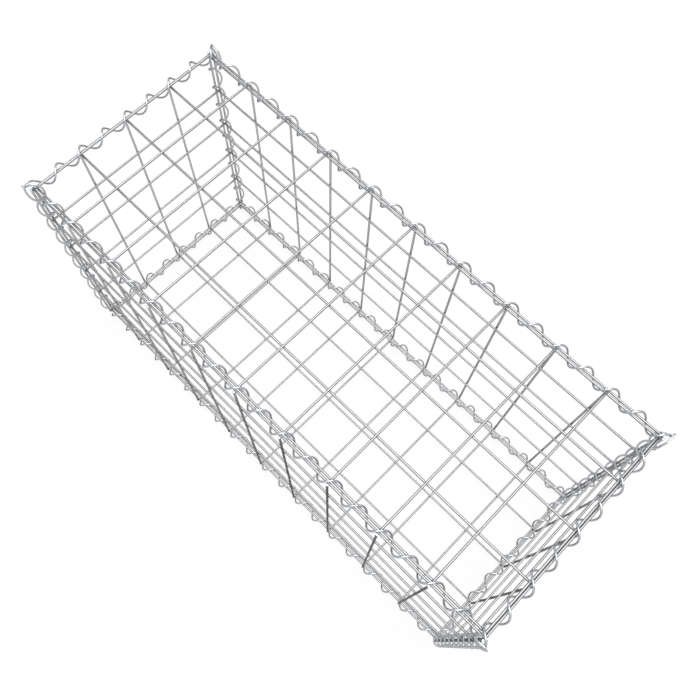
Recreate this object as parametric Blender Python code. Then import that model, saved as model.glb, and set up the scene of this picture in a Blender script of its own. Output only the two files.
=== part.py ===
"""Gabion basket: six welded mesh panels laced together along their edges by wire coils.

Metres, +Z up, +X along the length. The origin is at the middle of the footprint, at the height
of the lowest coils, on which the basket stands.
"""

import math

import bmesh
import bpy
from mathutils import Matrix, Vector

# Basket, from middle to middle of the opposite panels' level wires
LENGTH = 1.000
DEPTH = 0.400
HEIGHT = 0.500

# Welded mesh
MESH = 0.100
WIRE_D = 0.004
WIRE_SIDES = 7
WELD_SINK = 0.0003
COVER_WIRE_END = 0.0017
LONG_WALL_WIRE_END = 0.0012
END_WALL_WIRE_END = 0.0006

# How far the edge wires of one panel lie beside those of the next
COVER_SIDE_INSET = 0.0060
COVER_END_INSET = 0.0045
LONG_WALL_EDGE_INSET = 0.0
END_WALL_EDGE_INSET = 0.0030

# Coil binders, two turns to each mesh
COIL_RADIUS = 0.0099
COIL_WIRE_D = 0.0033
TURNS_PER_MESH = 2
COIL_STEPS = 12

# Middle of each coil, measured from the crossing of the walls' level wires at its edge
LONG_COIL_INSET = 0.0006
LONG_COIL_SHIFT = 0.0011
END_COIL_SHIFT = 0.0004
CORNER_COIL_OUTSET = 0.0020

# Length at each end of a coil over which its wire is bent out to the basket's corner, and how
# far its tip is then moved outwards from the edge, upwards and along the edge
BEND_REACH = 0.0125
OVER_BEND = (0.0015, 0.0043, 0.0010)
DRAWN_BEND = (0.0125, -0.0066, 0.0095)

# How far the tip of an upright coil is moved in X, Y and Z
CORNER_BEND = (0.0035, 0.0030, 0.0010)

LAYER = WIRE_D - WELD_SINK
WIRE_R = WIRE_D / 2
# The coils are drawn as square wire with the same section as the round wire
COIL_HALF_SIDE = COIL_WIRE_D * math.sqrt(math.pi) / 4
BASE_LEVEL = COIL_RADIUS + COIL_HALF_SIDE + LONG_COIL_SHIFT
LID_LEVEL = BASE_LEVEL + HEIGHT
WALL_X = LENGTH / 2
WALL_Y = DEPTH / 2


def galvanised(name, shade, roughness):
    """Zinc-coated wire of one shade of grey."""
    material = bpy.data.materials.new(name)
    material.use_nodes = True
    shader = material.node_tree.nodes["Principled BSDF"]
    shader.inputs["Base Color"].default_value = (shade, shade, shade * 1.02, 1.0)
    shader.inputs["Metallic"].default_value = 1.0
    shader.inputs["Roughness"].default_value = roughness
    return material


def clear_scene():
    """Remove what the scene holds, so that only the basket is left."""
    for old in list(bpy.data.objects):
        bpy.data.objects.remove(old, do_unlink=True)


def add_object(name, mesh):
    """Link a mesh to the scene as one named object, with its round sides shaded smooth."""
    mesh.shade_smooth()
    mesh.set_sharp_from_angle(angle=math.radians(60))
    part = bpy.data.objects.new(name, mesh)
    bpy.context.scene.collection.objects.link(part)
    return part


def positions(span, inset):
    """Places of a panel's wires across its span: the edge wires inset, the others on the mesh pitch."""
    cells = max(1, round(span / MESH))
    pitch = span / cells
    inner = [pitch * k - span / 2 for k in range(1, cells)]
    return [inset - span / 2] + inner + [span / 2 - inset]


def wire_layer(name, along, across, half_length, places, weld_side):
    """Parallel straight wires, each with one ridge turned to the wires it is welded to."""
    mesh = bpy.data.meshes.new(name)
    grid = bmesh.new()
    side = along.cross(weld_side)
    turn = Matrix((side, weld_side, along)).transposed().to_4x4()
    for place in places:
        bmesh.ops.create_cone(
            grid, cap_ends=True, segments=WIRE_SIDES, radius1=WIRE_R, radius2=WIRE_R,
            depth=2 * half_length, matrix=Matrix.Translation(across * place) @ turn)
    bmesh.ops.recalc_face_normals(grid, faces=grid.faces)
    grid.to_mesh(mesh)
    grid.free()
    return add_object(name, mesh)


def welded_panel(name, long_axis, cross_axis, cross_side, long_wires, cross_wires):
    """One welded mesh panel lying about its own centre.

    The long wires run along long_axis in the panel's plane. The cross wires run along cross_axis,
    one layer away on the side given by cross_side, and are sunk into the long wires at each weld.
    long_wires and cross_wires are pairs of half length and places.
    """
    panel = wire_layer(name, long_axis, cross_axis, *long_wires, cross_side)
    welded = wire_layer(name + "_cross", cross_axis, long_axis, *cross_wires, -cross_side)
    welded.data.transform(Matrix.Translation(cross_side * LAYER))
    welded.hide_render = True
    welded.display_type = "WIRE"
    weld = panel.modifiers.new("welds", "BOOLEAN")
    weld.operation = "UNION"
    weld.object = welded
    panel.data.materials.append(galvanised(name + "_zinc", 0.62, 0.35))
    return panel, welded


def place_panel(pieces, location):
    """Move a panel and the wires welded to it to where the panel belongs."""
    for piece in pieces:
        piece.location = location


def cover(name, level, outward):
    """Base or lid: long wires along X level with the walls' level wires, cross wires outside them."""
    long_wires = (WALL_X - COVER_END_INSET + COVER_WIRE_END, positions(DEPTH, COVER_SIDE_INSET))
    cross_wires = (WALL_Y - COVER_SIDE_INSET + WIRE_R, positions(LENGTH, COVER_END_INSET))
    pieces = welded_panel(name, Vector((1, 0, 0)), Vector((0, 1, 0)), outward,
                          long_wires, cross_wires)
    place_panel(pieces, (0, 0, level))


def wall(name, outward, along, reach, span, edge_inset, wire_end):
    """Wall panel: level wires inside, uprights welded to their outer side.

    wire_end is how far the level wires run past the middle of the edge uprights.
    """
    level_wires = (span / 2 - edge_inset + wire_end, positions(HEIGHT, 0))
    uprights = (HEIGHT / 2 + WIRE_R, positions(span, edge_inset))
    pieces = welded_panel(name, along, Vector((0, 0, 1)), outward, level_wires, uprights)
    place_panel(pieces, outward * reach + Vector((0, 0, BASE_LEVEL + HEIGHT / 2)))


def coil_mesh(name, half_span, hand, phase, ends):
    """Coil about the local Z axis, made by screwing a small square around it.

    hand is 1 for a left-handed and -1 for a right-handed coil. phase is the angle from the local
    X axis at which the wire passes a mesh junction. The square has the same section as the round
    wire, and is drawn out along the axis so that it keeps this section across the slanting turns.
    Each of the two ends is the number of steps by which the coil runs past the basket's corner,
    and how far the tip of its wire is then bent away.
    """
    pitch = MESH / TURNS_PER_MESH
    step = pitch / COIL_STEPS
    start = -half_span - ends[0][0] * step
    finish = half_span + ends[1][0] * step
    steps = round((finish - start) / step)
    slant = math.hypot(1, pitch / (math.tau * COIL_RADIUS))
    first_angle = phase - hand * math.tau * start / pitch
    coil = bmesh.new()
    corners = [(-1, -1), (1, -1), (1, 1), (-1, 1)]
    profile = [coil.verts.new((COIL_RADIUS + COIL_HALF_SIDE * x, 0, COIL_HALF_SIDE * slant * z))
               for x, z in corners]
    face = coil.faces.new(profile)
    bmesh.ops.transform(coil, verts=profile, matrix=Matrix.Translation((0, 0, start))
                        @ Matrix.Rotation(first_angle, 4, "Z"))
    bmesh.ops.spin(coil, geom=[face], axis=(0, 0, 1), cent=(0, 0, 0),
                   angle=-hand * math.tau * steps / COIL_STEPS, dvec=(0, 0, step), steps=steps)
    for vert in coil.verts:
        height = vert.co.z
        for depth, bend in ((start + BEND_REACH - height, ends[0][1]),
                            (height - finish + BEND_REACH, ends[1][1])):
            vert.co += Vector(bend) * (max(0, depth) / BEND_REACH) ** 2
    bmesh.ops.recalc_face_normals(coil, faces=coil.faces)
    mesh = bpy.data.meshes.new(name)
    coil.to_mesh(mesh)
    coil.free()
    return mesh


def binder(name, centre, axes, span, hand, phase_degrees, ends):
    """One coil binder whose axis runs through centre, at right angles to the two given axes."""
    mesh = coil_mesh(name, span / 2, hand, math.radians(phase_degrees), ends)
    coil = add_object(name, mesh)
    run = axes[0].cross(axes[1])
    coil.rotation_euler = Matrix((*axes, run)).transposed().to_euler()
    coil.location = centre
    coil.data.materials.append(galvanised(name + "_zinc", 0.70, 0.30))


def over_end(side, run):
    """Coil end that runs on past the corner to the outer side of the edge."""
    out, up, along = OVER_BEND
    return OVER_STEPS, (side * out, up, run * along)


def drawn_end(side, run):
    """Coil end whose last quarter turn is drawn out to the corner along the outer side."""
    out, up, along = DRAWN_BEND
    return 0, (side * out, up, run * along)


def cut_end(steps):
    """Coil end that is cut off short of the corner and left unbent."""
    return steps, (0, 0, 0)


def edge_binders(x_axis, y_axis, z_axis):
    """The eight level coils along the edges of the lid and the base."""
    side = WALL_Y - LONG_COIL_INSET
    lid = LID_LEVEL + LONG_COIL_SHIFT
    base = BASE_LEVEL - LONG_COIL_SHIFT
    axes = (y_axis, z_axis)
    binder("lid_front_coil", (0, -side, lid), axes, LENGTH, LEFT, TOP,
           (over_end(-1, -1), drawn_end(-1, 1)))
    binder("lid_back_coil", (0, side, lid), axes, LENGTH, LEFT, TOP,
           (drawn_end(1, -1), over_end(1, 1)))
    binder("base_front_coil", (0, -side, base), axes, LENGTH, LEFT, BOTTOM,
           (cut_end(-1), cut_end(-1)))
    binder("base_back_coil", (0, side, base), axes, LENGTH, LEFT, BOTTOM,
           (cut_end(-1), cut_end(-1)))
    lid = LID_LEVEL + END_COIL_SHIFT
    base = BASE_LEVEL - END_COIL_SHIFT
    axes = (x_axis, z_axis)
    binder("lid_left_coil", (-WALL_X, 0, lid), axes, DEPTH, LEFT, TOP,
           (over_end(-1, -1), drawn_end(-1, 1)))
    binder("lid_right_coil", (WALL_X, 0, lid), axes, DEPTH, LEFT, TOP,
           (drawn_end(1, -1), over_end(1, 1)))
    binder("base_left_coil", (-WALL_X, 0, base), axes, DEPTH, RIGHT, BOTTOM,
           (cut_end(-5), cut_end(-1)))
    binder("base_right_coil", (WALL_X, 0, base), axes, DEPTH, RIGHT, BOTTOM,
           (cut_end(-1), cut_end(-5)))


def corner_binders(x_axis, y_axis):
    """The four upright coils at the corners, their top ends bent out below those of the lid's."""
    middle = BASE_LEVEL + HEIGHT / 2
    reach_x = WALL_X + CORNER_COIL_OUTSET
    reach_y = WALL_Y + CORNER_COIL_OUTSET
    bend_x, bend_y, bend_z = CORNER_BEND
    for name, sign_x, sign_y, hand, phase in CORNER_COILS:
        centre = (sign_x * reach_x, sign_y * reach_y, middle)
        top = (-1, (sign_x * bend_x, sign_y * bend_y, bend_z))
        binder(name + "_corner_coil", centre, (x_axis, y_axis), HEIGHT, hand, phase,
               (cut_end(-1), top))


# Windings of the coils, the angles at which their wires pass a mesh junction,
# and how many steps an end runs past the corner
LEFT = 1
RIGHT = -1
TOP = 90
BOTTOM = 270
OVER_STEPS = 2
CORNER_COILS = [
    ("front_left", -1, -1, LEFT, 180),
    ("front_right", 1, -1, RIGHT, 0),
    ("back_left", -1, 1, RIGHT, 180),
    ("back_right", 1, 1, LEFT, 0),
]


def main():
    """Build the basket."""
    clear_scene()
    x_axis, y_axis, z_axis = Vector((1, 0, 0)), Vector((0, 1, 0)), Vector((0, 0, 1))
    cover("base_panel", BASE_LEVEL, -z_axis)
    cover("lid_panel", LID_LEVEL, z_axis)
    long_wall = (WALL_Y, LENGTH, LONG_WALL_EDGE_INSET, LONG_WALL_WIRE_END)
    end_wall = (WALL_X, DEPTH, END_WALL_EDGE_INSET, END_WALL_WIRE_END)
    wall("front_panel", -y_axis, x_axis, *long_wall)
    wall("back_panel", y_axis, x_axis, *long_wall)
    wall("left_end_panel", -x_axis, y_axis, *end_wall)
    wall("right_end_panel", x_axis, y_axis, *end_wall)
    edge_binders(x_axis, y_axis, z_axis)
    corner_binders(x_axis, y_axis)


main()
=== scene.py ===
"""Gabion basket: six welded mesh panels and the twelve wire coils that lace them together.

Every wire is a round tube worked out as whole arrays. A straight wire is a circle carried along
a line, and a coil is a circle carried along a helix whose ends stop short or bend to a corner.
"""

import math

import bpy
import numpy as np
from bpy.props import FloatProperty, FloatVectorProperty, IntProperty, PointerProperty
from bpy.types import Operator, Panel, PropertyGroup
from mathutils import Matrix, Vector


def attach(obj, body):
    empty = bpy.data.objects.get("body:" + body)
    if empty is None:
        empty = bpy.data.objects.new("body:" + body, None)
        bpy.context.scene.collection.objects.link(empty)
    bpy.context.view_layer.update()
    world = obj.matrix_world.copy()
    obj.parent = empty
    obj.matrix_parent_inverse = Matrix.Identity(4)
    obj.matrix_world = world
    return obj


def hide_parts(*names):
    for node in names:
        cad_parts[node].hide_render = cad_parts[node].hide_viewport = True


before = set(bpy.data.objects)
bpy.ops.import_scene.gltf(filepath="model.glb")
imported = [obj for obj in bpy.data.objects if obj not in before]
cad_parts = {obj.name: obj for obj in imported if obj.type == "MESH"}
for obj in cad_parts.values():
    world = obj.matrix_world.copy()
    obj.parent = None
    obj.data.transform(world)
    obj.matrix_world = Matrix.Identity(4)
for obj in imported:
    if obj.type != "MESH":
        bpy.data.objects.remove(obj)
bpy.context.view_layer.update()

bl_info = {
    "name": "Gabion Basket",
    "version": (1, 0, 0),
    "blender": (4, 5, 0),
    "location": "3D View > Sidebar > Gabion",
    "description": "Round welded wires and coil binders for a gabion basket",
    "category": "Add Mesh",
}

# Basket, from middle to middle of the opposite panels' inner wires, and its mesh
LENGTH = 1.000
DEPTH = 0.400
HEIGHT = 0.500
MESH = 0.100
HALF = np.array([LENGTH, DEPTH, HEIGHT]) / 2

# Levels of the base's and the lid's long wires
BASE_LEVEL = 0.012462
LID_LEVEL = BASE_LEVEL + HEIGHT

# How far the edge wires of each panel stand in from where the mesh pitch puts them
COVER_SIDE_INSET = 0.0060
COVER_END_INSET = 0.0045
LONG_WALL_EDGE_INSET = 0.0
END_WALL_EDGE_INSET = 0.0026

# How far the wires run past the middle of the edge wires that cross them
COVER_WIRE_END = 0.0017
LONG_WALL_WIRE_END = 0.0012
END_WALL_WIRE_END = 0.0003
CROSS_WIRE_END = 0.0020

# Round of a wire's cut end and half sizes of a weld bead, as shares of the wire's diameter
CUT_ROUND = 0.12
BEAD_WIDTH = 0.66
BEAD_HEIGHT = 0.30

# A weld bead's rings reach this far, in radians, from its waist towards its two poles
BEAD_REACH = 1.35
BEAD_RINGS = 6
BEAD_SIDES = 8

# Rings of vertices over the round of a cut end, and in the straight between two rounds
CUT_RINGS = 4
STRAIGHT_RINGS = 3

# How far the first and last rings of the straight lie from the cut ends
STRAIGHT_MARGIN = 0.02

# How far the middle of each coil lies from the inner wires of the panels that it laces
LONG_COIL_INSET = 0.0016
END_COIL_INSET = 0.0015
LID_COIL_RISE = 0.0011
LID_END_COIL_RISE = 0.0012
BASE_COIL_DROP = 0.0009
CORNER_COIL_OUTSET = 0.0020

# Coils: two turns to each mesh, a twelfth of a turn, and the length over which an end is bent
PITCH = MESH / 2
TWELFTH = PITCH / 12
BEND_REACH = 0.0125

# How far the tip of a bent coil end is moved outwards from the edge, upwards and along the edge
OVER_BEND = (0.0008, -0.0016, 0.0008)
DRAWN_BEND = (0.0112, -0.0028, 0.0088)
END_COIL_DRAWN_BEND = (0.0122, -0.0028, 0.0122)

# How far the tip of an upright coil is moved outwards in X, outwards in Y and upwards
CORNER_BEND = (0.0022, 0.0028, 0.0048)

# Powers with which a bend grows towards the tip, in the same three directions
BEND_POWERS = (1.2, 2.0, 2.0)

# Left-hand and right-hand windings
LEFT = 1
RIGHT = -1

# Sides of a coil, in degrees, at which it passes the middle of its edge
TOP = 90.0
BOTTOM = 270.0
SIDE_MINUS_X = 180.0
SIDE_PLUS_X = 0.0

X_AXIS, Y_AXIS, Z_AXIS = np.eye(3)

# Material slots of a mesh panel, and the only slot of a coil
LONG_SLOT, WELD_SLOT, CROSS_SLOT = range(3)
COIL_SLOT = 0

# Edges that turn by more than this many degrees are shaded sharp
SHARP_EDGE = 50.0

# Zinc crystals to the metre
SPANGLE_SCALE = 520.0

# Dull patches to the metre, and how many finer layers their noise has
PATCH_SCALE = 34.0
PATCH_DETAIL = 4.0

# Streaks to the metre around and along the wire, their noise's finer layers and their depth
STREAK_SCALE = (2600.0, 60.0, 1.0)
STREAK_DETAIL = 3.0
STREAK_DEPTH = 0.00003

# The part of the patches' noise that is used, and what it does to the shade and the roughness
PATCH_SPAN = (0.3, 0.7)
PATCH_SHADE = (0.90, 1.05)
PATCH_ROUGHNESS = (-0.07, 0.09)

# Refraction and strength of the reflection from the share of the zinc that isn't bare metal
OXIDE_IOR = 1.45
OXIDE_SPECULAR = 0.2

# The camera stands high in front of the right half and looks steeply down to the back left
CAMERA_PLACE = (0.35337, -0.35353, 1.62016 + BASE_LEVEL)
CAMERA_TURN = (20.1787, -0.0547, 44.9918)
CAMERA_LENS = 40.060
CAMERA_SENSOR = 36.0
CAMERA_SHIFT = (0.02644, 0.01379)
CAMERA_NEAR = 0.05

# The light falls almost straight down on a floor far wider than the view
LIGHT_WAY = (0.0, -0.05, -1.0)
LIGHT_DISTANCE = 3.0
FLOOR_REACH = 12.0


# User settings


class GABION_PG_mesh(PropertyGroup):
    """Sizes and finish of the welded mesh."""

    wire: FloatProperty(
        name="Mesh Wire", description="Diameter of the mesh wire",
        default=0.0040, min=0.002, max=0.008, precision=4, unit="LENGTH")
    layer: FloatProperty(
        name="Layer Spacing", description="Distance between the two layers of welded wires",
        default=0.0038, min=0.002, max=0.008, precision=4, unit="LENGTH")
    sides: IntProperty(
        name="Wire Sides", description="Flat sides around each mesh wire",
        default=18, min=8, max=48)
    zinc: FloatVectorProperty(
        name="Mesh Zinc", description="Colour of the zinc on the mesh wire",
        default=(0.30, 0.303, 0.308), min=0.0, max=1.0, size=3, subtype="COLOR")
    # Paler copy of the mesh zinc for the uprights: painted light that brightens the upright wires,
    # which the top light only grazes
    upright: FloatVectorProperty(
        name="Upright Zinc", description="Colour of the zinc on the walls' uprights",
        default=(0.60, 0.605, 0.61), min=0.0, max=1.0, size=3, subtype="COLOR")
    weld: FloatVectorProperty(
        name="Weld Zinc", description="Colour of the zinc over the weld beads",
        default=(0.32, 0.325, 0.33), min=0.0, max=1.0, size=3, subtype="COLOR")


class GABION_PG_coil(PropertyGroup):
    """Sizes and finish of the coil binders."""

    radius: FloatProperty(
        name="Coil Radius", description="Radius of the coil to the middle of its wire",
        default=0.0099, min=0.006, max=0.02, precision=4, unit="LENGTH")
    wire: FloatProperty(
        name="Coil Wire", description="Diameter of the coil wire",
        default=0.0033, min=0.002, max=0.006, precision=4, unit="LENGTH")
    steps: IntProperty(
        name="Steps per Turn", description="Rings of vertices in each turn of a coil",
        default=40, min=16, max=96)
    sides: IntProperty(
        name="Coil Wire Sides", description="Flat sides around the coil wire",
        default=12, min=8, max=32)
    zinc: FloatVectorProperty(
        name="Coil Zinc", description="Colour of the zinc on the coil wire",
        default=(0.48, 0.50, 0.535), min=0.0, max=1.0, size=3, subtype="COLOR")


class GABION_PG_stage(PropertyGroup):
    """Floor and light."""

    floor: FloatVectorProperty(
        name="Floor", description="Colour of the floor under the basket",
        default=(1.0, 1.0, 1.0), min=0.0, max=1.0, size=3, subtype="COLOR")
    bounce: FloatVectorProperty(
        name="Floor Bounce", description="Colour of the light that the floor throws back up",
        default=(0.12, 0.12, 0.12), min=0.0, max=1.0, size=3, subtype="COLOR")
    shadow: FloatProperty(
        name="Shadow Share", description="Share of the floor's brightness that the lamps give",
        default=0.10, min=0.0, max=1.0, subtype="FACTOR")
    top_light: FloatProperty(
        name="Top Light", description="Strength of the soft light from high above",
        default=3.2, min=0.0, max=20.0)
    softness: FloatProperty(
        name="Softness", description="Angle across the soft light as the basket sees it",
        default=math.radians(62.0), min=0.0, max=math.pi, subtype="ANGLE")
    fill: FloatProperty(
        name="Fill", description="Strength of the even light from all around",
        default=0.03, min=0.0, max=2.0)


# Tubes


def tube_surface(centres, normals, binormals, radii, sides):
    """Closed round tubes, all with the same number of rings.

    A tube's surface is p(k, a) = c(k) + r(k) (cos a n(k) + sin a b(k)), where c, n and b are the
    middle, normal and binormal of ring k. Each end is closed by a fan around one more point.
    centres, normals and binormals are arrays of tubes x rings x 3, radii is tubes x rings.
    Returns vertices, quads, triangles and the distance along the tube of each ring.
    """
    tubes, rings = radii.shape
    angle = np.arange(sides) * math.tau / sides
    spoke = (np.cos(angle)[:, None] * normals[:, :, None, :]
             + np.sin(angle)[:, None] * binormals[:, :, None, :])
    skin = centres[:, :, None, :] + radii[:, :, None, None] * spoke
    poles = centres[:, [0, -1], :]
    verts = np.concatenate([skin.reshape(-1, 3), poles.reshape(-1, 3)])
    first = (np.arange(tubes) * rings * sides)[:, None, None]
    ring = (np.arange(rings - 1) * sides)[None, :, None]
    here = np.arange(sides)[None, None, :]
    after = (here + 1) % sides
    base = first + ring
    quads = np.stack([base + here, base + after, base + sides + after, base + sides + here], -1)
    pole = tubes * rings * sides + 2 * np.arange(tubes)[:, None]
    start = first[:, 0]
    last = start + (rings - 1) * sides
    low = np.stack(np.broadcast_arrays(start + after[0], start + here[0], pole), -1)
    high = np.stack(np.broadcast_arrays(last + here[0], last + after[0], pole + 1), -1)
    steps = np.linalg.norm(np.diff(centres, axis=1), axis=2)
    along = np.concatenate([np.zeros((tubes, 1)), np.cumsum(steps, axis=1)], axis=1)
    return verts, quads.reshape(-1, 4), np.concatenate([low, high]).reshape(-1, 3), along


def tube_uv(along, sides, wire):
    """UV corners in metres: once around the wire across, and the distance along it upwards.

    Returns the corners of the quads and those of the triangles at the ends, which lie at zero.
    """
    tubes, rings = along.shape
    girth = math.pi * wire
    left = np.arange(sides) / sides * girth
    right = (np.arange(sides) + 1) / sides * girth
    shape = (tubes, rings - 1, sides)
    low = np.broadcast_to(along[:, :-1, None], shape)
    high = np.broadcast_to(along[:, 1:, None], shape)
    left = np.broadcast_to(left, shape)
    right = np.broadcast_to(right, shape)
    corners = np.stack([left, low, right, low, right, high, left, high], -1).reshape(-1, 2)
    ends = 2
    triangle = 3
    return corners, np.zeros((tubes * ends * sides * triangle, 2))


def join_tubes(bundles, wire):
    """Whole arrays of one piece from bundles of tubes, each with its sides and its material slot.

    Returns vertices, quads, triangles, UV corners and slots, the last two with all quads first.
    """
    parts = []
    count = 0
    for rings, sides, slot in bundles:
        verts, quads, tris, along = tube_surface(*rings, sides)
        parts.append((verts, quads + count, tris + count, *tube_uv(along, sides, wire),
                      np.full(len(quads), slot), np.full(len(tris), slot)))
        count += len(verts)
    verts, quads, tris, quad_uv, tri_uv, quad_slots, tri_slots = map(np.concatenate, zip(*parts))
    uv = np.concatenate([quad_uv, tri_uv])
    return verts, quads, tris, uv, np.concatenate([quad_slots, tri_slots])


def make_piece(name, verts, quads, tris, uv, slots, materials):
    """One object from whole arrays of vertices, quads, triangles, UV corners and material slots."""
    mesh = bpy.data.meshes.new(name)
    mesh.vertices.add(len(verts))
    mesh.vertices.foreach_set("co", verts.astype(np.float32).ravel())
    corners = np.concatenate([quads.ravel(), tris.ravel()])
    counts = np.concatenate([np.full(len(quads), 4), np.full(len(tris), 3)])
    mesh.loops.add(len(corners))
    mesh.loops.foreach_set("vertex_index", corners.astype(np.int32))
    mesh.polygons.add(len(counts))
    starts = np.concatenate([[0], np.cumsum(counts)[:-1]])
    mesh.polygons.foreach_set("loop_start", starts.astype(np.int32))
    mesh.polygons.foreach_set("material_index", slots.astype(np.int32))
    layer = mesh.uv_layers.new(name="UVMap")
    layer.data.foreach_set("uv", uv.astype(np.float32).ravel())
    for material in materials:
        mesh.materials.append(material)
    mesh.update(calc_edges=True)
    mesh.validate()
    mesh.shade_smooth()
    mesh.set_sharp_from_angle(angle=math.radians(SHARP_EDGE))
    piece = bpy.data.objects.new(name, mesh)
    bpy.context.scene.collection.objects.link(piece)
    return piece


def cut_round(wire):
    """Rings over the round of a cut end, from the cut inwards: how far back they lie, and radii.

    The round is a quarter circle of radius e: at the angle t a ring lies e - e sin t behind the
    cut, and its radius is r - e + e cos t, with r the radius of the wire.
    """
    edge = wire * CUT_ROUND
    turn = np.linspace(math.pi / 2, 0, CUT_RINGS)
    return edge - edge * np.sin(turn), wire / 2 - edge + edge * np.cos(turn)


def straight_wires(along, across, half, places, offset, wire):
    """Rings of parallel straight wires: c = offset + across * place + along * s.

    s runs from -half to half, so half is half the length of the wires.
    """
    back, cap_radii = cut_round(wire)
    reach = half - STRAIGHT_MARGIN
    spots = np.concatenate(
        [back - half, np.linspace(-reach, reach, STRAIGHT_RINGS), (half - back)[::-1]])
    radii = np.concatenate([cap_radii, np.full(STRAIGHT_RINGS, wire / 2), cap_radii[::-1]])
    centres = offset + across * places[:, None, None] + along * spots[None, :, None]
    normals = np.broadcast_to(across, centres.shape)
    binormals = np.broadcast_to(np.cross(along, across), centres.shape)
    return centres, normals, binormals, np.broadcast_to(radii, centres.shape[:2])


def weld_beads(places_a, places_b, axis_a, axis_b, outward, middle, wire):
    """A flat bead squeezed out at every crossing: an ellipsoid between the two wires.

    p = c + cos v (cos u a + sin u b) w + sin v n h, with w the bead's half width and h its half
    height, on a grid of u and v. The wires at places_a run along axis_a.
    """
    rings = np.linspace(-BEAD_REACH, BEAD_REACH, BEAD_RINGS)
    grid_a, grid_b = np.meshgrid(places_a, places_b, indexing="ij")
    spot = middle + grid_a.ravel()[:, None] * axis_b + grid_b.ravel()[:, None] * axis_a
    rise = wire * BEAD_HEIGHT * np.sin(rings)
    centres = spot[:, None, :] + outward * rise[None, :, None]
    normals = np.broadcast_to(axis_a, centres.shape)
    binormals = np.broadcast_to(axis_b, centres.shape)
    if np.dot(np.cross(axis_a, axis_b), outward) < 0:
        normals, binormals = binormals, normals
    radii = np.broadcast_to(wire * BEAD_WIDTH * np.cos(rings), centres.shape[:2])
    return centres, normals, binormals, radii


def wire_places(span, inset):
    """Places of a panel's wires: the edge wires inset, the others on the mesh pitch."""
    cells = round(span / MESH)
    places = np.arange(cells + 1) * (span / cells) - span / 2
    places[0] += inset
    places[-1] -= inset
    return places


# Zinc


def link_nodes(tree, *pairs):
    """Join each output to its input."""
    for output, target in pairs:
        tree.links.new(output, target)


def remap(tree, source, span, result):
    """Turn one span of values into another."""
    node = tree.nodes.new("ShaderNodeMapRange")
    node.inputs["From Min"].default_value, node.inputs["From Max"].default_value = span
    node.inputs["To Min"].default_value, node.inputs["To Max"].default_value = result
    link_nodes(tree, (source, node.inputs["Value"]))
    return node.outputs["Result"]


def zinc_finish(name, colour, metallic, rough, rim, streak, spangle):
    """Hot-dip zinc: fine crystal spangle, drawn streaks along the wire and broad dull patches.

    The spangle and the patches lie on Object coordinates. The streaks follow the UV map, whose
    upward direction is the length of the wire. rim is the tint of what the wire reflects at a
    grazing angle. Each finish is made the first time that it is asked for, and then shared.
    """
    material = bpy.data.materials.get(name)
    if material:
        return material
    material = bpy.data.materials.new(name)
    material.use_nodes = True
    tree = material.node_tree
    shader = tree.nodes["Principled BSDF"]
    shader.inputs["Metallic"].default_value = metallic
    shader.inputs["IOR"].default_value = OXIDE_IOR
    shader.inputs["Specular IOR Level"].default_value = OXIDE_SPECULAR
    shader.inputs["Specular Tint"].default_value = (rim, rim, rim, 1.0)
    coords = tree.nodes.new("ShaderNodeTexCoord")
    cells = tree.nodes.new("ShaderNodeTexVoronoi")
    cells.inputs["Scale"].default_value = SPANGLE_SCALE
    patches = tree.nodes.new("ShaderNodeTexNoise")
    patches.inputs["Scale"].default_value = PATCH_SCALE
    patches.inputs["Detail"].default_value = PATCH_DETAIL
    stretch = tree.nodes.new("ShaderNodeMapping")
    stretch.inputs["Scale"].default_value = STREAK_SCALE
    lines = tree.nodes.new("ShaderNodeTexNoise")
    lines.inputs["Scale"].default_value = 1.0
    lines.inputs["Detail"].default_value = STREAK_DETAIL
    link_nodes(
        tree, (coords.outputs["Object"], cells.inputs["Vector"]),
        (coords.outputs["Object"], patches.inputs["Vector"]),
        (coords.outputs["UV"], stretch.inputs["Vector"]),
        (stretch.outputs["Vector"], lines.inputs["Vector"]))
    tone = remap(tree, cells.outputs["Color"], (0.0, 1.0), (1.0 - spangle, 1.0 + spangle))
    dull = remap(tree, patches.outputs["Fac"], PATCH_SPAN, PATCH_SHADE)
    shade = tree.nodes.new("ShaderNodeMath")
    shade.operation = "MULTIPLY"
    tint = tree.nodes.new("ShaderNodeVectorMath")
    tint.operation = "SCALE"
    tint.inputs[0].default_value = tuple(colour)
    gloss = remap(tree, patches.outputs["Fac"], PATCH_SPAN,
                  [rough + change for change in PATCH_ROUGHNESS])
    bump = tree.nodes.new("ShaderNodeBump")
    bump.inputs["Strength"].default_value = streak
    bump.inputs["Distance"].default_value = STREAK_DEPTH
    link_nodes(
        tree, (tone, shade.inputs[0]), (dull, shade.inputs[1]),
        (shade.outputs["Value"], tint.inputs["Scale"]),
        (tint.outputs["Vector"], shader.inputs["Base Color"]),
        (gloss, shader.inputs["Roughness"]),
        (lines.outputs["Fac"], bump.inputs["Height"]),
        (bump.outputs["Normal"], shader.inputs["Normal"]))
    return material


def wire_zinc(name, colour):
    """Zinc of straight drawn wire."""
    return zinc_finish(name, colour, metallic=0.90, rough=0.28, rim=0.05, streak=0.12,
                       spangle=0.04)


def mesh_zinc():
    """Zinc of the walls' level wires and of all wires of the base and the lid."""
    return wire_zinc("mesh_zinc", bpy.context.scene.gabion_mesh.zinc)


def upright_zinc_painted_light():
    """Paler copy of the mesh zinc for the walls' uprights: painted light on the upright wires,
    which the top light only grazes.
    """
    return wire_zinc("upright_zinc_painted_light", bpy.context.scene.gabion_mesh.upright)


def weld_zinc():
    """Duller zinc over the weld beads."""
    colour = bpy.context.scene.gabion_mesh.weld
    return zinc_finish("weld_zinc", colour, metallic=0.90, rough=0.50, rim=0.20,
                       streak=0.10, spangle=0.06)


def coil_zinc():
    """Smoother and slightly bluish zinc of the coil binders."""
    colour = bpy.context.scene.gabion_coil.zinc
    return zinc_finish("coil_zinc", colour, metallic=0.95, rough=0.17, rim=0.20,
                       streak=0.10, spangle=0.05)


# Mesh panels


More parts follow.
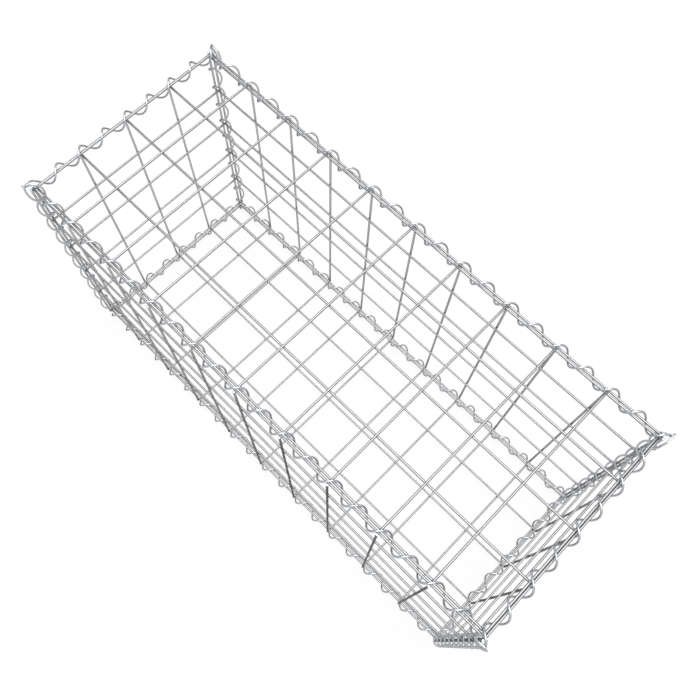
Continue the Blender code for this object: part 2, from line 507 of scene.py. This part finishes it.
def welded_panel(node, middle, axes, long_wires, cross_wires, cross_zinc):
    """One mesh panel: long wires, cross wires welded to their outer side, and the weld beads.

    axes are the long direction, the cross direction and the outward direction. long_wires and
    cross_wires are pairs of half length and places, and cross_zinc is the cross wires' finish.
    """
    settings = bpy.context.scene.gabion_mesh
    long_axis, cross_axis, outward = axes
    wire = settings.wire
    outer = middle + outward * settings.layer
    between = middle + outward * (settings.layer / 2)
    bundles = (
        (straight_wires(long_axis, cross_axis, *long_wires, middle, wire),
         settings.sides, LONG_SLOT),
        (straight_wires(cross_axis, long_axis, *cross_wires, outer, wire),
         settings.sides, CROSS_SLOT),
        (weld_beads(long_wires[1], cross_wires[1], long_axis, cross_axis, outward, between, wire),
         BEAD_SIDES, WELD_SLOT))
    piece = make_piece(node + "_wires", *join_tubes(bundles, wire),
                       (mesh_zinc(), weld_zinc(), cross_zinc))
    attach(piece, "root")
    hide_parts(node)


def cover_panel(node, level, outward):
    """Base or lid: long wires along X, cross wires welded to their outer side."""
    long_wires = (HALF[0] - COVER_END_INSET + COVER_WIRE_END,
                  wire_places(DEPTH, COVER_SIDE_INSET))
    cross_wires = (HALF[1] - COVER_SIDE_INSET + CROSS_WIRE_END,
                   wire_places(LENGTH, COVER_END_INSET))
    axes = (X_AXIS, Y_AXIS, outward)
    welded_panel(node, Z_AXIS * level, axes, long_wires, cross_wires, mesh_zinc())


def wall_panel(node, outward, along, reach, span, edge_inset, wire_end):
    """Wall: level wires inside, uprights welded to their outer side.

    wire_end is how far the level wires run past the middle of the edge uprights.
    """
    middle = outward * reach + Z_AXIS * (BASE_LEVEL + HALF[2])
    level_wires = (span / 2 - edge_inset + wire_end, wire_places(HEIGHT, 0.0))
    uprights = (HALF[2] + CROSS_WIRE_END, wire_places(span, edge_inset))
    axes = (along, Z_AXIS, outward)
    # The uprights get the paler zinc: painted light in place of the top light that they miss
    welded_panel(node, middle, axes, level_wires, uprights, upright_zinc_painted_light())


class GABION_OT_covers(Operator):
    """Make the base and the lid"""

    bl_idname = "gabion.covers"
    bl_label = "Base and Lid"

    def execute(self, context):
        cover_panel("base_panel", BASE_LEVEL, -Z_AXIS)
        cover_panel("lid_panel", LID_LEVEL, Z_AXIS)
        return {"FINISHED"}


class GABION_OT_walls(Operator):
    """Make the front, back and end panels"""

    bl_idname = "gabion.walls"
    bl_label = "Walls"

    def execute(self, context):
        long_wall = (HALF[1], LENGTH, LONG_WALL_EDGE_INSET, LONG_WALL_WIRE_END)
        end_wall = (HALF[0], DEPTH, END_WALL_EDGE_INSET, END_WALL_WIRE_END)
        wall_panel("front_panel", -Y_AXIS, X_AXIS, *long_wall)
        wall_panel("back_panel", Y_AXIS, X_AXIS, *long_wall)
        wall_panel("left_end_panel", -X_AXIS, Y_AXIS, *end_wall)
        wall_panel("right_end_panel", X_AXIS, Y_AXIS, *end_wall)
        return {"FINISHED"}


# Coil binders


def coil_line(centre, axes, span, hand, phase, ends):
    """Middle line of a coil and the rings' normals and binormals.

    The line is c + r cos a u + r sin a w + s t, with a = phase - hand 2 pi s / pitch and
    t = u x w. Over the last stretch before each end it is moved by bend * k^p, with k going from
    0 to 1 and a power p for each direction, so that the wire swings out before it runs along.
    The normal of each ring is the part of the spoke (cos a u + sin a w) at right angles to the
    line's own direction. ends holds, for both ends, how far the coil runs past its edge and the
    bend of its tip.
    """
    settings = bpy.context.scene.gabion_coil
    u_axis, w_axis = axes
    run = np.cross(u_axis, w_axis)
    (start_run, start_bend), (finish_run, finish_bend) = ends
    start = -span / 2 - start_run
    finish = span / 2 + finish_run
    count = int(round((finish - start) / PITCH * settings.steps)) + 1
    s = np.linspace(start, finish, count)
    angle = math.radians(phase) - hand * math.tau * s / PITCH
    local = np.stack([settings.radius * np.cos(angle), settings.radius * np.sin(angle), s], 1)
    for depth, bend in ((start + BEND_REACH - s, start_bend),
                        (s - finish + BEND_REACH, finish_bend)):
        local += np.asarray(bend) * (np.maximum(depth, 0) / BEND_REACH)[:, None] ** BEND_POWERS
    frame_axes = np.stack([u_axis, w_axis, run])
    line = np.asarray(centre) + local @ frame_axes
    spoke = np.stack([np.cos(angle), np.sin(angle), np.zeros(count)], 1) @ frame_axes
    tangent = np.gradient(line, axis=0)
    tangent /= np.linalg.norm(tangent, axis=1)[:, None]
    normal = spoke - tangent * (spoke * tangent).sum(1)[:, None]
    normal /= np.linalg.norm(normal, axis=1)[:, None]
    return line, normal, np.cross(tangent, normal)


def coil_rings(line, normal, binormal, wire):
    """Rings of one bent wire: those along its middle line, and those over its two cut ends.

    The last ring of each round is left out, as the next ring of the line stands in for it.
    """
    back, cap_radii = (values[:-1] for values in cut_round(wire))
    first_way = line[1] - line[0]
    first_way /= np.linalg.norm(first_way)
    last_way = line[-1] - line[-2]
    last_way /= np.linalg.norm(last_way)
    head = line[0] + first_way * back[:, None]
    tail = (line[-1] - last_way * back[:, None])[::-1]
    centres = np.concatenate([head, line[1:-1], tail])
    radii = np.concatenate([cap_radii, np.full(len(line) - 2, wire / 2), cap_radii[::-1]])
    repeats = np.ones(len(line), int)
    repeats[[0, -1]] = len(back)
    normals = np.repeat(normal, repeats, axis=0)
    binormals = np.repeat(binormal, repeats, axis=0)
    return centres[None], normals[None], binormals[None], radii[None]


def coil_piece(node, centre, axes, span, hand, phase, ends):
    """One coil binder with cut, slightly rounded wire ends, in place of its CAD node."""
    settings = bpy.context.scene.gabion_coil
    rings = coil_rings(*coil_line(centre, axes, span, hand, phase, ends), settings.wire)
    bundles = ((rings, settings.sides, COIL_SLOT),)
    piece = make_piece(node + "_wire", *join_tubes(bundles, settings.wire), (coil_zinc(),))
    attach(piece, "root")
    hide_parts(node)


def over_end(side, run):
    """Coil end that runs on past the corner to the outer side of the edge."""
    out, up, along = OVER_BEND
    return 2 * TWELFTH, (side * out, up, run * along)


def drawn_end(side, run, bend=DRAWN_BEND):
    """Coil end whose last quarter turn is drawn out to the corner along the outer side."""
    out, up, along = bend
    return 0.0, (side * out, up, run * along)


def cut_end(steps):
    """Coil end that stops a number of twelfths of a turn short of the corner, unbent."""
    return -steps * TWELFTH, (0.0, 0.0, 0.0)


def corner_end(sign_x, sign_y):
    """Upper end of an upright coil, bent out to the corner's tip."""
    out_x, out_y, up = CORNER_BEND
    return -TWELFTH, (sign_x * out_x, sign_y * out_y, up)


class GABION_OT_long_coils(Operator):
    """Wind the four coils along the front and back edges"""

    bl_idname = "gabion.long_coils"
    bl_label = "Long Coils"

    def execute(self, context):
        side = HALF[1] - LONG_COIL_INSET
        axes = (Y_AXIS, Z_AXIS)
        lid = LID_LEVEL + LID_COIL_RISE
        base = BASE_LEVEL - BASE_COIL_DROP
        coil_piece("lid_front_coil", (0, -side, lid), axes, LENGTH, LEFT, TOP,
                   (over_end(-1, -1), drawn_end(-1, 1)))
        coil_piece("lid_back_coil", (0, side, lid), axes, LENGTH, LEFT, TOP,
                   (drawn_end(1, -1), over_end(1, 1)))
        coil_piece("base_front_coil", (0, -side, base), axes, LENGTH, LEFT, BOTTOM,
                   (cut_end(1), cut_end(1)))
        coil_piece("base_back_coil", (0, side, base), axes, LENGTH, LEFT, BOTTOM,
                   (cut_end(1), cut_end(1)))
        return {"FINISHED"}


class GABION_OT_end_coils(Operator):
    """Wind the four coils along the edges at the two ends"""

    bl_idname = "gabion.end_coils"
    bl_label = "End Coils"

    def execute(self, context):
        end = HALF[0] - END_COIL_INSET
        axes = (X_AXIS, Z_AXIS)
        lid = LID_LEVEL + LID_END_COIL_RISE
        base = BASE_LEVEL - BASE_COIL_DROP
        coil_piece("lid_left_coil", (-end, 0, lid), axes, DEPTH, LEFT, TOP,
                   (over_end(-1, -1), drawn_end(-1, 1, END_COIL_DRAWN_BEND)))
        coil_piece("lid_right_coil", (end, 0, lid), axes, DEPTH, LEFT, TOP,
                   (drawn_end(1, -1, END_COIL_DRAWN_BEND), over_end(1, 1)))
        coil_piece("base_left_coil", (-end, 0, base), axes, DEPTH, RIGHT, BOTTOM,
                   (cut_end(5), cut_end(1)))
        coil_piece("base_right_coil", (end, 0, base), axes, DEPTH, RIGHT, BOTTOM,
                   (cut_end(1), cut_end(5)))
        return {"FINISHED"}


class GABION_OT_corner_coils(Operator):
    """Wind the four upright coils at the corners"""

    bl_idname = "gabion.corner_coils"
    bl_label = "Corner Coils"

    def execute(self, context):
        corners = (("front_left", -1, -1, LEFT, SIDE_MINUS_X),
                   ("front_right", 1, -1, RIGHT, SIDE_PLUS_X),
                   ("back_left", -1, 1, RIGHT, SIDE_MINUS_X),
                   ("back_right", 1, 1, LEFT, SIDE_PLUS_X))
        for name, sign_x, sign_y, hand, phase in corners:
            centre = (sign_x * (HALF[0] + CORNER_COIL_OUTSET),
                      sign_y * (HALF[1] + CORNER_COIL_OUTSET), BASE_LEVEL + HALF[2])
            coil_piece(name + "_corner_coil", centre, (X_AXIS, Y_AXIS), HEIGHT, hand, phase,
                       (cut_end(1), corner_end(sign_x, sign_y)))
        return {"FINISHED"}


# Floor, light and camera


def seen_directly(tree):
    """One for rays from the camera, in a reflection or through glass, and zero for all others."""
    path = tree.nodes.new("ShaderNodeLightPath")
    seen = path.outputs["Is Camera Ray"]
    for kind in ("Is Glossy Ray", "Is Transmission Ray"):
        either = tree.nodes.new("ShaderNodeMath")
        either.operation = "MAXIMUM"
        link_nodes(tree, (seen, either.inputs[0]), (path.outputs[kind], either.inputs[1]))
        seen = either.outputs["Value"]
    return seen


def floor_finish(colour, bounce, shadow):
    """Plain floor that the camera and reflections see as white, with a light shadow on it.

    For all other rays it is dim, so that the wires are lit from above and not from below.
    """
    material = bpy.data.materials.new("floor_white")
    material.use_nodes = True
    tree = material.node_tree
    tree.nodes.clear()
    plain = tree.nodes.new("ShaderNodeBsdfDiffuse")
    plain.inputs["Color"].default_value = (*colour, 1.0)
    dim = tree.nodes.new("ShaderNodeBsdfDiffuse")
    dim.inputs["Color"].default_value = (*bounce, 1.0)
    glow = tree.nodes.new("ShaderNodeEmission")
    glow.inputs["Color"].default_value = (1.0, 1.0, 1.0, 1.0)
    glow.inputs["Strength"].default_value = 1.0
    lit = tree.nodes.new("ShaderNodeMixShader")
    lit.inputs["Fac"].default_value = shadow
    pick = tree.nodes.new("ShaderNodeMixShader")
    out = tree.nodes.new("ShaderNodeOutputMaterial")
    link_nodes(
        tree, (glow.outputs["Emission"], lit.inputs[1]), (plain.outputs["BSDF"], lit.inputs[2]),
        (seen_directly(tree), pick.inputs["Fac"]),
        (dim.outputs["BSDF"], pick.inputs[1]), (lit.outputs["Shader"], pick.inputs[2]),
        (pick.outputs["Shader"], out.inputs["Surface"]))
    return material


def make_floor(settings):
    """Flat floor at the level of the lowest coils."""
    reach = FLOOR_REACH
    corners = [(-reach, -reach, 0), (reach, -reach, 0), (reach, reach, 0), (-reach, reach, 0)]
    mesh = bpy.data.meshes.new("floor")
    mesh.from_pydata(corners, [], [(0, 1, 2, 3)])
    mesh.materials.append(floor_finish(settings.floor, settings.bounce, settings.shadow))
    floor = bpy.data.objects.new("floor", mesh)
    bpy.context.scene.collection.objects.link(floor)


def make_world(strength):
    """Even light from all around, white where the camera or a reflection sees it."""
    world = bpy.data.worlds.new("studio")
    bpy.context.scene.world = world
    world.use_nodes = True
    tree = world.node_tree
    tree.nodes.clear()
    glow = tree.nodes.new("ShaderNodeBackground")
    glow.inputs["Color"].default_value = (1.0, 1.0, 1.0, 1.0)
    out = tree.nodes.new("ShaderNodeOutputWorld")
    level = remap(tree, seen_directly(tree), (0.0, 1.0), (strength, 1.0))
    link_nodes(tree, (level, glow.inputs["Strength"]),
               (glow.outputs["Background"], out.inputs["Surface"]))


def soft_light(name, way, strength, softness):
    """Broad even light that falls along one direction, the same all over the basket."""
    data = bpy.data.lights.new(name, "SUN")
    data.energy = strength
    data.angle = softness
    lamp = bpy.data.objects.new(name, data)
    lamp.location = tuple(-LIGHT_DISTANCE * part for part in way)
    lamp.rotation_euler = Vector(way).to_track_quat("-Z", "Y").to_euler()
    bpy.context.scene.collection.objects.link(lamp)


def make_camera():
    """The one camera, at the photograph's angle."""
    data = bpy.data.cameras.new("camera")
    data.sensor_width = CAMERA_SENSOR
    data.lens = CAMERA_LENS
    data.shift_x, data.shift_y = CAMERA_SHIFT
    data.clip_start = CAMERA_NEAR
    camera = bpy.data.objects.new("camera", data)
    camera.location = CAMERA_PLACE
    camera.rotation_euler = tuple(math.radians(angle) for angle in CAMERA_TURN)
    bpy.context.scene.collection.objects.link(camera)
    bpy.context.scene.camera = camera


class GABION_OT_stage(Operator):
    """Set up the floor, the soft light and the camera"""

    bl_idname = "gabion.stage"
    bl_label = "Floor, Light and Camera"

    def execute(self, context):
        settings = context.scene.gabion_stage
        make_floor(settings)
        make_world(settings.fill)
        soft_light("top_light", LIGHT_WAY, settings.top_light, settings.softness)
        make_camera()
        context.scene.view_settings.view_transform = "Standard"
        return {"FINISHED"}


# Sidebar panel and registration


class GABION_PT_sidebar(Panel):
    """Sizes, finishes and steps of the basket"""

    bl_label = "Gabion Basket"
    bl_idname = "GABION_PT_sidebar"
    bl_space_type = "VIEW_3D"
    bl_region_type = "UI"
    bl_category = "Gabion"

    def draw(self, context):
        scene = context.scene
        for settings in (scene.gabion_mesh, scene.gabion_coil, scene.gabion_stage):
            box = self.layout.box()
            for key in settings.__annotations__:
                box.prop(settings, key)
        for operator in OPERATORS:
            self.layout.operator(operator.bl_idname)


SETTINGS = (GABION_PG_mesh, GABION_PG_coil, GABION_PG_stage)
OPERATORS = (GABION_OT_covers, GABION_OT_walls, GABION_OT_long_coils, GABION_OT_end_coils,
             GABION_OT_corner_coils, GABION_OT_stage)


def register():
    """Register the classes and hang the settings on the scene."""
    for cls in SETTINGS + OPERATORS + (GABION_PT_sidebar,):
        bpy.utils.register_class(cls)
    bpy.types.Scene.gabion_mesh = PointerProperty(type=GABION_PG_mesh)
    bpy.types.Scene.gabion_coil = PointerProperty(type=GABION_PG_coil)
    bpy.types.Scene.gabion_stage = PointerProperty(type=GABION_PG_stage)


def unregister():
    """Undo register."""
    del bpy.types.Scene.gabion_stage
    del bpy.types.Scene.gabion_coil
    del bpy.types.Scene.gabion_mesh
    for cls in reversed(SETTINGS + OPERATORS + (GABION_PT_sidebar,)):
        bpy.utils.unregister_class(cls)


def main():
    """Make every piece and the stage."""
    register()
    bpy.ops.gabion.covers()
    bpy.ops.gabion.walls()
    bpy.ops.gabion.long_coils()
    bpy.ops.gabion.end_coils()
    bpy.ops.gabion.corner_coils()
    bpy.ops.gabion.stage()


if __name__ == "__main__":
    main()
